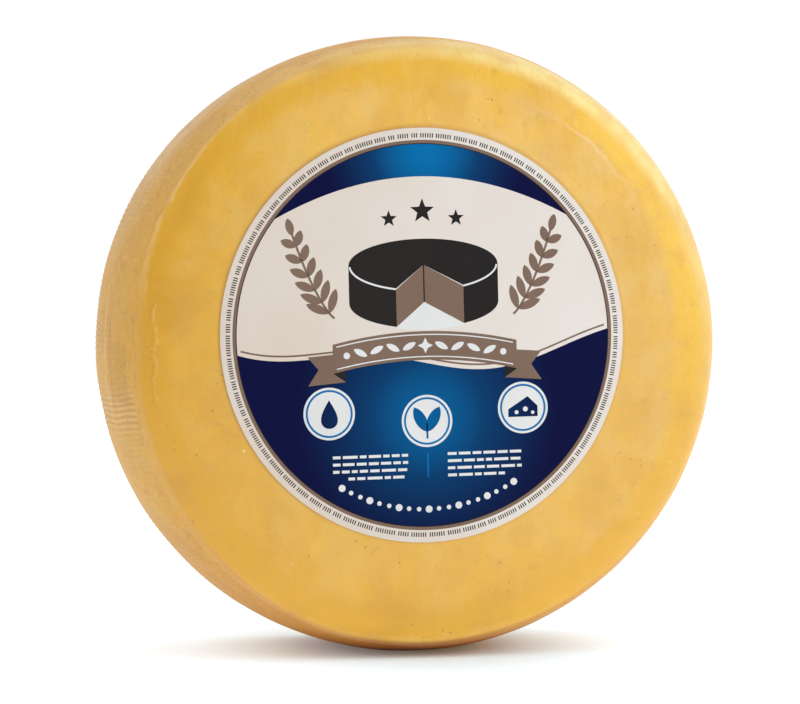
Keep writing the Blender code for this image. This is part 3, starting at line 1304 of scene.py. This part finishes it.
class FlatShapes:
    """Flat shapes in the label's plane, in millimetres: X to the right and Y up from its centre."""

    @staticmethod
    def grid(columns: int, rows: int) -> tuple[Piece, Array, Array]:
        """A flat grid that runs from -1 to 1 both ways.

        Args:
            columns: Faces along X.
            rows: Faces along Y.

        Returns:
            The grid, and X and Y of its points.
        """
        select_only()
        bpy.ops.mesh.primitive_grid_add(x_subdivisions=columns, y_subdivisions=rows, size=2.0)
        shape = bpy.context.active_object
        across, up, _ = points_of(shape).T
        return shape, across, up

    @staticmethod
    def spread(shape: Piece, across: Array, up: Array) -> None:
        """Put a flat shape's points at new places in its plane."""
        move_points(shape, np.stack((across, up, np.zeros(len(across))), axis=-1))

    @classmethod
    def warped(cls, columns: int, rows: int, rule: Rule) -> Piece:
        """A grid bent into a shape.

        Args:
            columns: Faces along the first direction.
            rows: Faces along the second direction.
            rule: Gives x and y for the two directions, which both run from -1 to 1.

        Returns:
            The flat shape.
        """
        shape, first, second = cls.grid(columns, rows)
        cls.spread(shape, *rule(first, second))
        with editing(shape):
            bpy.ops.mesh.remove_doubles(threshold=0.001)
        return shape

    @classmethod
    def ring(cls, inner: float, outer: float, centre: Spot = (0.0, 0.0), segments: int = 64,
             rows: int = 1, squash: float = 1.0) -> Piece:
        """A flat ring, a disc where inner is 0, or an ellipse where squash isn't 1.

        Args:
            inner: Inner radius.
            outer: Outer radius.
            centre: Its centre.
            segments: Number of faces round it.
            rows: Number of faces from its inner to its outer edge.
            squash: Its height as a share of its width.

        Returns:
            The flat shape.
        """

        def rule(s: Array, t: Array) -> Pair:
            """Angle along s and radius along t."""
            radius = inner + (outer - inner) * (t + 1.0) / 2.0
            return centre[0] + radius * np.cos(np.pi * s), centre[1] + squash * radius * np.sin(np.pi * s)

        return cls.warped(segments, rows, rule)

    @classmethod
    def bar(cls, centre: Spot, width: float, height: float) -> Piece:
        """A rectangle."""
        return cls.warped(1, 1, lambda s, t: (centre[0] + s * width / 2.0, centre[1] + t * height / 2.0))

    @classmethod
    def leaf(cls, length: float, width: float, centre: Spot, turn: float) -> Piece:
        """A pointed leaf.

        Args:
            length: From tip to tip.
            width: Across its middle.
            centre: Its centre.
            turn: Angle from pointing right.

        Returns:
            The flat shape.
        """

        def rule(s: Array, t: Array) -> Pair:
            """Bend the grid into the leaf.

            Args:
                s: How far along the leaf.
                t: How far across it.

            Returns:
                X and Y of its points.
            """
            beside = width / 2.0 * t * np.maximum(1.0 - s ** 2, 0.0) ** 0.8
            across, up = turned(length / 2.0 * s, beside, turn)
            return centre[0] + across, centre[1] + up

        return cls.warped(10, 2, rule)

    @classmethod
    def line(cls, across: Array, up: Array, width: float) -> Piece:
        """A line of even width along a smooth path.

        Args:
            across: X of the path's points.
            up: Y of the path's points.
            width: The line's width.

        Returns:
            The flat shape.
        """
        path = np.stack((across, up), axis=-1)
        steps = np.gradient(path, axis=0)
        steps /= np.linalg.norm(steps, axis=1)[:, None]
        beside = np.stack((-steps[:, 1], steps[:, 0]), axis=-1)

        def rule(s: Array, t: Array) -> Pair:
            """Along the path by s and to its sides by t."""
            index = np.rint((s + 1.0) / 2.0 * (len(path) - 1)).astype(int)
            return tuple((path[index] + beside[index] * (t * width / 2.0)[:, None]).T)

        return cls.warped(len(path) - 1, 1, rule)

    @classmethod
    def polygon(cls, corners: Sequence[Spot], centre: Spot) -> Piece:
        """A polygon whose corners, in order, can all be seen from centre.

        Args:
            corners: The corners.
            centre: The point inside that its triangles meet in.

        Returns:
            The flat shape.
        """
        select_only()
        bpy.ops.mesh.primitive_circle_add(vertices=len(corners), radius=1.0, fill_type="NOTHING")
        shape = bpy.context.active_object
        cls.spread(shape, *np.array(corners, float).T)
        with editing(shape):
            bpy.ops.mesh.edge_face_add()
            bpy.ops.mesh.poke()
        shape.data.vertices[len(corners)].co = (*centre, 0.0)
        return shape

    @classmethod
    def star(cls, centre: Spot, radius: float, points: int = 5, waist: float = 0.42) -> Piece:
        """A star that points upwards.

        Args:
            centre: Its centre.
            radius: From its centre to a point.
            points: Number of points.
            waist: Radius between two points, as a share of the radius.

        Returns:
            The flat shape.
        """
        corners = []
        for index in range(2 * points):
            x, y = turned(0.0, radius * (waist if index % 2 else 1.0), 180.0 / points * index)
            corners.append((centre[0] + x, centre[1] + y))
        return cls.polygon(corners, centre)

    @classmethod
    def comb(cls, count: int, place: Rule) -> Piece:
        """A row of separate four-cornered marks.

        Args:
            count: Number of marks.
            place: Gives x and y of the corners for their numbers along the row, two a mark, and
                for their sides, -1 below and 1 above.

        Returns:
            The marks as one flat shape.
        """
        last = 2 * count - 1
        shape, first, second = cls.grid(last, 1)
        numbers = np.rint((first + 1.0) / 2.0 * last).astype(int)
        firsts = [min(numbers[list(face.vertices)]) for face in shape.data.polygons]
        cls.spread(shape, *place(numbers, second))
        with editing(shape, "FACE") as mesh:
            bpy.ops.mesh.select_all(action="DESELECT")
            for face, number in zip(mesh.faces, firsts):
                if number % 2:
                    face.select = True
            bmesh.update_edit_mesh(shape.data)
            bpy.ops.mesh.delete(type="FACE")
        return shape


@dataclass
class PaperLabel:
    """The round paper label and the generic print on it, with places and sizes in millimetres."""

    form: WheelForm
    radius: float = 81.0
    centre: Spot = (-3.1, 3.6)
    turn: float = 1.4
    paper_bottom: float = 0.02
    paper_top: float = 0.50
    ink_thickness: float = 0.018
    ink_sink: float = 0.004
    print_radius: float = 74.7
    ring_radius: float = 76.2
    tick_radii: Band = (77.15, 78.85)
    tick_width: float = 0.32
    tick_pitch: float = 0.68
    tick_groups: tuple[int, int] = (3, 9)
    tick_gaps: Band = (0.4, 0.7)
    dash_lengths: Band = (2.2, 6.0)
    dash_gap: float = 0.9
    dash_height: float = 1.1
    emblem: Spot = (0.0, 27.5)
    emblem_reach: float = 30.0
    emblem_squash: float = 0.34
    emblem_height: float = 14.5
    wedge_from: float = -112.0
    wedge_to: float = -58.0
    ribbon_reach: float = 37.0
    ribbon_half: float = 5.6
    badges: tuple[Spot, ...] = ((-39.0, -29.5), (0.0, -33.5), (39.0, -29.5))
    shapes: dict[tuple[Slot, int], list[Piece]] = field(default_factory=dict)

    def add(self, ink: Slot, layer: int, *shapes: Piece) -> None:
        """Note flat shapes for printing with one ink, on a layer from 1 up."""
        self.shapes.setdefault((ink, layer), []).extend(shapes)

    def lay(self, shape: Piece, bottom: float, top: float) -> None:
        """Give a flat shape its thickness and lay it on the label's place on the cheese.

        Args:
            shape: The flat shape in the label's plane.
            bottom: Height of its underside above the cheese's face.
            top: Height of its upper side above the cheese's face.
        """
        with editing(shape, "FACE"):
            bpy.ops.mesh.extrude_region_move(TRANSFORM_OT_translate={"value": (0.0, 0.0, top - bottom)})
            bpy.ops.mesh.select_all(action="SELECT")
            bpy.ops.mesh.normals_make_consistent(inside=False)
        flat = points_of(shape)
        across, up = turned(flat[:, 0], flat[:, 1], self.turn)
        across, up = (self.centre[0] + across) * MM, (self.centre[1] + up) * MM
        move_points(shape, self.form.lay_on_face(across, up, (bottom + flat[:, 2]) * MM))
        select_only(shape)
        bpy.ops.object.shade_smooth_by_angle(angle=math.radians(30.0))

    @staticmethod
    def upper_curve(across: Numbers) -> Numbers:
        """Lower border of the upper field."""
        return 62.0 - 0.0046 * across ** 2

    @staticmethod
    def hill_curve(across: Numbers) -> Numbers:
        """Upper border of the lower field, like rolling hills."""
        return -11.5 + 3.4 * np.cos((across + 21.0) / 15.5) + 0.0016 * across ** 2

    @staticmethod
    def ribbon_curve(across: Numbers) -> Numbers:
        """Middle line of the arched ribbon."""
        return -4.0 - 0.0032 * across ** 2

    @staticmethod
    def stem(share: Numbers) -> tuple[Numbers, Numbers]:
        """Point of the right sprig's stem at a share of its way upwards."""
        return 36.0 + 19.0 * share - 3.0 * share ** 2, 7.5 + 33.0 * share ** 1.25

    def field_between(self, curve: Callable[[Numbers], Numbers], low_side: bool) -> Piece:
        """The part of the printed disc above or below a curve.

        Args:
            curve: Gives y for x along the field's border.
            low_side: Whether the field lies below the curve.

        Returns:
            The flat shape, as strips that fan from the disc's rim to the curve.
        """
        sign = -1.0 if low_side else 1.0
        ends = []
        for side in (-1.0, 1.0):
            steps = side * np.linspace(20.0, self.print_radius, 4000)
            ends.append(float(steps[np.argmax(np.hypot(steps, curve(steps)) >= self.print_radius)]))
        left, right = ends
        angles = [math.atan2(sign * curve(end), end) for end in ends]
        if angles[0] < 0.0:
            angles[0] += math.tau

        def rule(s: Array, t: Array) -> Pair:
            """Bend the grid into the field.

            Args:
                s: How far along the rim and the curve.
                t: How far from the rim to the curve.

            Returns:
                X and Y of its points.
            """
            share = (s + 1.0) / 2.0
            angle = angles[0] + (angles[1] - angles[0]) * share
            rim_x = self.print_radius * np.cos(angle)
            rim_y = sign * self.print_radius * np.sin(angle)
            curve_x = left + (right - left) * (0.5 - 0.5 * np.cos(np.pi * share))
            rise = (t + 1.0) / 2.0
            return rim_x + (curve_x - rim_x) * rise, rim_y + (curve(curve_x) - rim_y) * rise

        return FlatShapes.warped(96, 14, rule)

    def draw_fields(self) -> None:
        """The dark fields above and below the white band, and the line along the lower one."""
        self.add(Slot.NAVY, 1, self.field_between(self.upper_curve, False))
        self.add(Slot.NAVY, 1, self.field_between(self.hill_curve, True))
        across = np.linspace(-73.2, 73.2, 90)
        self.add(Slot.TAUPE, 1, FlatShapes.line(across, self.hill_curve(across) + 1.9, 0.7))

    def draw_rings(self) -> None:
        """The ring round the print, with its fine darker line."""
        inner = self.print_radius
        self.add(Slot.TAUPE, 1, FlatShapes.ring(inner, self.ring_radius, segments=180))
        self.add(Slot.BLACK, 2, FlatShapes.ring(inner - 0.1, inner + 0.25, segments=180))

    def draw_border_marks(self) -> None:
        """Fine upright ticks of one height, in groups round the border."""
        draw = random.Random(5)
        starts: list[float] = []
        angle = 0.0
        while angle < 356.0:
            count = draw.randint(*self.tick_groups)
            starts.extend(angle + self.tick_pitch * index for index in range(count))
            angle += self.tick_pitch * count + draw.uniform(*self.tick_gaps)
        ends = np.stack((starts, np.add(starts, self.tick_width)), axis=-1).ravel()
        turns = -np.radians(91.0 + ends * 360.0 / angle)

        def place(numbers: Array, sides: Array) -> Pair:
            """Corners of the ticks, clockwise round the border."""
            radius = np.where(sides > 0.0, self.tick_radii[1], self.tick_radii[0])
            return radius * np.cos(turns[numbers]), radius * np.sin(turns[numbers])

        self.add(Slot.BLACK, 1, FlatShapes.comb(len(starts), place))

    def rim(self, angle: Numbers, drop: Numbers = 0.0, inset: float = 1.0) -> tuple[Numbers, Numbers]:
        """Points of the drawn wheel's edge.

        Args:
            angle: Their angles round it, from the right.
            drop: How far they are lowered.
            inset: Their distance from its middle as a share of the edge's.

        Returns:
            Their x and y on the label.
        """
        reach = self.emblem_reach * inset
        turn = np.radians(angle)
        up = self.emblem[1] + reach * self.emblem_squash * np.sin(turn) - drop
        return self.emblem[0] + reach * np.cos(turn), up

    def draw_emblem(self) -> None:
        """A dark cheese wheel with a wedge cut out of its front."""
        middle, tall, first, second = self.emblem[1], self.emblem_height, self.wedge_from, self.wedge_to
        wall = FlatShapes.warped(32, 1, lambda s, t: self.rim(90.0 * (s - 1.0), tall * (t + 1.0) / 2.0))
        top = FlatShapes.ring(0.0, self.emblem_reach, self.emblem, squash=self.emblem_squash)
        self.add(Slot.BLACK, 1, wall, top)
        edge = self.rim(np.linspace(-178.0, -2.0, 48), inset=0.985)
        self.add(Slot.WHITE, 2, FlatShapes.line(*edge, 0.7))
        front = [self.rim(first + (second - first) * step / 8.0, tall + 0.6) for step in range(9)]
        foot = (0.0, middle - tall)
        notch = [self.rim(first, -0.4), *front, self.rim(second, -0.4), self.emblem]
        self.add(Slot.WHITE, 3, FlatShapes.polygon(notch, (0.0, middle - 10.0)))
        for angle, order in ((first, -1), (second, 1)):
            corners = [self.emblem, self.rim(angle), self.rim(angle, tall), foot][::order]
            centre = (self.rim(angle)[0] / 2.0, middle - 0.72 * tall)
            self.add(Slot.TAUPE, 4, FlatShapes.polygon(corners, centre))
        self.add(Slot.BLACK, 5, FlatShapes.bar((0.0, middle - tall / 2.0), 0.5, tall))

    def draw_sprigs(self) -> None:
        """A leafy sprig on each side of the emblem."""
        for side in (-1.0, 1.0):
            stem_x, stem_y = self.stem(np.linspace(0.0, 1.0, 20))
            self.add(Slot.TAUPE, 1, FlatShapes.line(side * stem_x, stem_y, 0.9))
            for index in range(6):
                x, y = self.stem(0.10 + 0.155 * index)
                length = 9.8 - 0.65 * index
                for turn in (106.0, 22.0):
                    reach_x, reach_y = turned(length * 0.52, 0.0, turn)
                    spot = (side * (x + reach_x), y + reach_y)
                    shown = turn if side > 0.0 else 180.0 - turn
                    self.add(Slot.TAUPE, 1, FlatShapes.leaf(length, 3.4, spot, shown))
            x, y = self.stem(1.0)
            tip = FlatShapes.leaf(7.0, 3.2, (side * (x + 0.8), y + 2.6), 90.0 - side * 14.0)
            self.add(Slot.TAUPE, 1, tip)

    def draw_stars(self) -> None:
        """Three stars over the emblem."""
        for spot, radius in (((0.0, 48.5), 5.0), ((-13.5, 45.6), 3.4), ((13.5, 45.6), 3.4)):
            self.add(Slot.BLACK, 1, FlatShapes.star(spot, radius))

    def draw_ribbon(self) -> None:
        """The arched ribbon under the emblem, with its swallow tails."""
        half, reach, curve = self.ribbon_half, self.ribbon_reach, self.ribbon_curve
        body = FlatShapes.warped(32, 1, lambda s, t: (reach * s, curve(reach * s) + half * t))
        self.add(Slot.TAUPE, 3, body)
        low = curve(reach) - 3.4
        for side in (-1.0, 1.0):
            inner, outer = side * (reach - 5.0), side * (reach + 10.0)
            tail = [
                (inner, low - half),
                (outer, low - half - 1.2),
                (outer - side * 4.2, low - 0.6),
                (outer, low + half - 1.2),
                (inner, low + half),
            ]
            fold = [(side * reach, curve(reach) - half), (inner, curve(inner) - half), (inner, low - half)]
            order = int(side)
            middle = (sum(x for x, _ in fold) / 3.0, sum(y for _, y in fold) / 3.0)
            self.add(Slot.TAUPE, 2, FlatShapes.polygon(tail[::order], (inner + side * 4.0, low)))
            self.add(Slot.BLACK, 3, FlatShapes.polygon(fold[::-order], middle))

    def draw_ribbon_motifs(self) -> None:
        """The ribbon's two white lines and its row of a star, leaves and dots."""
        across = np.linspace(-35.5, 35.5, 40)
        for offset in (-4.3, 4.3):
            self.add(Slot.WHITE, 4, FlatShapes.line(across, self.ribbon_curve(across) + offset, 0.45))
        self.add(Slot.WHITE, 4, FlatShapes.star((0.0, -4.0), 3.1, 4, 0.45))
        for side in (-1.0, 1.0):
            for x, lean in ((6.5, -28.0), (13.0, 28.0), (19.5, -28.0), (26.0, 28.0)):
                leaf = FlatShapes.leaf(6.0, 2.4, (side * x, self.ribbon_curve(x)), side * lean)
                self.add(Slot.WHITE, 4, leaf)
            dot = FlatShapes.ring(0.0, 1.3, (side * 31.5, self.ribbon_curve(31.5)), segments=16)
            self.add(Slot.WHITE, 4, dot)

    def draw_badges(self) -> None:
        """Three round badges on the lower field: a drop, a pair of leaves and a wedge."""
        for spot in self.badges:
            self.add(Slot.WHITE, 2, FlatShapes.ring(0.0, 10.2, spot))
            self.add(Slot.AZURE, 3, FlatShapes.ring(8.5, 9.3, spot))
        x, y = self.badges[0]
        drop = []
        for step in range(24):
            angle = math.tau * (step / 24.0 + 0.25)
            narrow = math.sin(math.pi * step / 24.0) ** 1.3
            drop.append((x + 4.6 * math.cos(angle) * narrow, y - 0.2 + 5.6 * math.sin(angle)))
        self.add(Slot.NAVY, 3, FlatShapes.polygon(drop, (x, y - 1.5)))
        x, y = self.badges[1]
        for side in (-1.0, 1.0):
            leaf = FlatShapes.leaf(11.0, 4.6, (x + side * 2.6, y + 0.6), 90.0 - side * 28.0)
            self.add(Slot.NAVY, 3, leaf)
        self.add(Slot.NAVY, 3, FlatShapes.bar((x, y - 5.2), 0.8, 3.4))
        x, y = self.badges[2]
        wedge = ((-6.0, -3.6), (6.0, -3.6), (6.0, 0.6), (2.0, 4.4), (-6.0, -0.6))
        corners = [(x + corner_x, y + corner_y) for corner_x, corner_y in wedge]
        self.add(Slot.NAVY, 3, FlatShapes.polygon(corners, (x, y - 1.0)))
        for hole_x, hole_y, size in ((-2.6, -1.8, 0.8), (1.0, -0.6, 1.0), (4.0, -2.0, 0.7)):
            self.add(Slot.WHITE, 4, FlatShapes.ring(0.0, size, (x + hole_x, y + hole_y), segments=16))

    def draw_dashes(self, draw: random.Random, left: float, right: float, y: float) -> None:
        """A row of fine dashes of uneven length.

        Args:
            draw: Gives the lengths.
            left: Where the row starts.
            right: Where it stops.
            y: Its height on the label.
        """
        edges: list[float] = []
        start = left
        while start < right - 1.5:
            end = min(start + draw.uniform(*self.dash_lengths), right)
            edges.extend((start, end))
            start = end + self.dash_gap

        def place(numbers: Array, sides: Array) -> Pair:
            """Corners of the row's dashes."""
            return np.array(edges)[numbers], y + self.dash_height / 2.0 * sides

        self.add(Slot.WHITE, 2, FlatShapes.comb(len(edges) // 2, place))

    def draw_notes(self) -> None:
        """Two blocks of fine dashes and a row of dots, in place of small print."""
        draw = random.Random(8)
        for left, right, last_left, last_right in ((-38.0, -8.0, -32.0, -8.0), (8.0, 38.0, 8.0, 32.0)):
            for row in range(3):
                self.draw_dashes(draw, left, right, -46.6 - 2.8 * row)
            self.draw_dashes(draw, last_left, last_right, -55.0)
        self.add(Slot.AZURE, 2, FlatShapes.bar((0.0, -50.8), 0.6, 9.5))
        for index in range(-9, 10):
            spot = turned(68.0, 0.0, -90.0 + 3.4 * index)
            self.add(Slot.WHITE, 2, FlatShapes.ring(0.0, 0.9 if index % 3 else 1.4, spot, segments=16))

    def finishes(self) -> dict[Slot, bpy.types.Material]:
        """The inks' materials.

        Returns:
            One material for each slot that prints.
        """
        glows = (Glow(-0.0031, 0.199, 0.042, 1.0), Glow(-0.002, 0.095, 0.056, 0.80))
        navy = GlowFinish("print_navy", (8, 12, 58), (4, 58, 104), (0, 108, 166), glows)
        return {
            Slot.NAVY: navy.material(),
            Slot.TAUPE: PrintFinish("print_taupe", (132, 107, 91), (126, 101, 85)).material(),
            Slot.BLACK: PrintFinish("print_black", (44, 38, 36), (38, 34, 34)).material(),
            Slot.WHITE: PrintFinish("print_white", (232, 228, 224), (226, 222, 218)).material(),
            Slot.AZURE: PrintFinish("print_azure", (22, 112, 170), (16, 104, 162)).material(),
        }

    def make_paper(self) -> None:
        """The bare disc of paper."""
        paper = FlatShapes.ring(0.0, self.radius, segments=180, rows=20)
        paper.name = paper.data.name = "label_sheet"
        self.lay(paper, self.paper_bottom, self.paper_top)
        finish = PrintFinish("label_paper", (232, 221, 211), (224, 205, 189), 0.5, True)
        place_piece(paper, Slot.PAPER, finish.material(), "label")

    def make(self) -> None:
        """Build, dress and place the paper and every print."""
        self.make_paper()
        self.draw_fields()
        self.draw_rings()
        self.draw_border_marks()
        self.draw_emblem()
        self.draw_sprigs()
        self.draw_stars()
        self.draw_ribbon()
        self.draw_ribbon_motifs()
        self.draw_badges()
        self.draw_notes()
        materials = self.finishes()
        for (ink, layer), shapes in self.shapes.items():
            sheet = join_pieces(f"label_{ink.name.lower()}_{layer}", shapes)
            self.lay(sheet, self.paper_top - self.ink_sink, self.paper_top + layer * self.ink_thickness)
            place_piece(sheet, ink, materials[ink])


@dataclass
class Studio:
    """Floor, soft lights and the camera at the photograph's viewing angle."""

    form: WheelForm
    yaw: float = 13.5
    pitch: float = 0.9
    distance: float = 1.10
    focal_length: float = 121.3
    sensor_width: float = 36.0
    aim_left: float = 0.0016
    aim_down: float = 0.0037
    floor_size: float = 8.0
    floor_colour: Tint = (0.72, 0.85, 0.955, 1.0)
    glow_colour: Tint = (0.955, 0.960, 0.965, 1.0)
    # Warm floor and glow near the wheel's foot: painted bounce light from the cheese
    warm_floor: Tint = (1.0, 0.84, 0.46, 1.0)
    warm_glow: Tint = (1.0, 0.70, 0.25, 1.0)
    warm_reach: Band = (0.052, 0.004)
    foot_shape: Triple = (1.12, 0.82, 1.0)
    foot_shift: Triple = (-0.009, -0.005, 0.0)
    # Floor emission that grows away from the foot; its dimmer part near the wheel is painted shadow
    floor_glow: Tint = (0.010, 0.115, 0.10, 0.48)
    mean_level: float = 0.46
    to_right: float = 0.13
    to_back: float = 0.54
    overhead: float = 0.68
    behind_overhead: float = -0.65

    def make_floor(self) -> None:
        """A wide pale floor that glows, less close to where the wheel stands as painted shadow, with a
        painted warm shine from the cheese there.
        """
        select_only()
        bpy.ops.mesh.primitive_plane_add(size=self.floor_size)
        floor = bpy.context.active_object
        floor.name = "studio_floor"
        graph = Graph(bpy.data.materials.new("pale_floor"))
        distance = graph.away(self.foot_shape, self.foot_shift)
        near = graph.span(distance, *self.warm_reach)
        graph.set_shader(
            Base_Color=graph.mix(near, self.floor_colour, self.warm_floor),
            Roughness=0.9,
            Specular_IOR_Level=0.1,
            Emission_Color=graph.mix(near, self.glow_colour, self.warm_glow),
            Emission_Strength=graph.span(distance, *self.floor_glow),
        )
        floor.data.materials.append(graph.owner)

    def make_world(self) -> None:
        """A white surrounding light that is brightest overhead and behind the wheel."""
        world = bpy.data.worlds.new("studio_world")
        bpy.context.scene.world = world
        graph = Graph(world)
        right, back, up = graph.axes(graph.add("TexCoord").outputs["Generated"])
        level: object = self.mean_level
        for way, share in (
            (right, self.to_right),
            (back, self.to_back),
            (up, self.overhead),
            (graph.product(back, up), self.behind_overhead),
        ):
            level = graph.maths("MULTIPLY_ADD", way, share, level)
        background = graph.nodes["Background"]
        graph.feed(background.inputs["Color"], (1.0, 1.0, 1.0, 1.0))
        graph.feed(background.inputs["Strength"], level)

    def make_light(self, name: str, place: Triple, size: float, power: float) -> None:
        """A soft square light that faces the wheel's middle.

        Args:
            name: Name of the light.
            place: Where it hangs.
            size: Length of its side.
            power: Its power in watts.
        """
        data = bpy.data.lights.new(name, "AREA")
        data.shape = "SQUARE"
        data.size = size
        data.energy = power
        light = bpy.data.objects.new(name, data)
        bpy.context.scene.collection.objects.link(light)
        towards = Vector((0.0, 0.0, self.form.axis_height())) - Vector(place)
        light.rotation_euler = towards.to_track_quat("-Z", "Y").to_euler()
        light.location = place

    def make_camera(self) -> None:
        """The camera, turned to the wheel's left and a little above its axis."""
        yaw, pitch = math.radians(self.yaw), math.radians(self.pitch)
        level = math.cos(pitch)
        direction = Vector((-math.sin(yaw) * level, -math.cos(yaw) * level, math.sin(pitch)))
        centre = Vector((0.0, 0.0, self.form.axis_height()))
        data = bpy.data.cameras.new("camera")
        data.lens = self.focal_length
        data.sensor_width = self.sensor_width
        data.clip_start = 0.01
        camera = bpy.data.objects.new("camera", data)
        bpy.context.scene.collection.objects.link(camera)
        rotation = (-direction).to_track_quat("-Z", "Y")
        aim = rotation @ Vector((self.aim_left, self.aim_down, 0.0))
        camera.rotation_euler = rotation.to_euler()
        camera.location = centre + direction * self.distance - aim
        bpy.context.scene.camera = camera

    def make(self) -> None:
        """Build the whole studio."""
        bpy.context.scene.view_settings.view_transform = "Standard"
        self.make_floor()
        self.make_world()
        self.make_light("key_light", (0.56, -0.58, 0.36), 0.40, 1.34)
        self.make_light("side_light", (1.2, -0.30, 0.45), 0.6, 1.3)
        self.make_camera()


def main() -> None:
    """Build the studio, the cheese and its label."""
    form = WheelForm()
    Studio(form).make()
    CheeseWheel(form).make()
    PaperLabel(form).make()


if __name__ == "__main__":
    main()
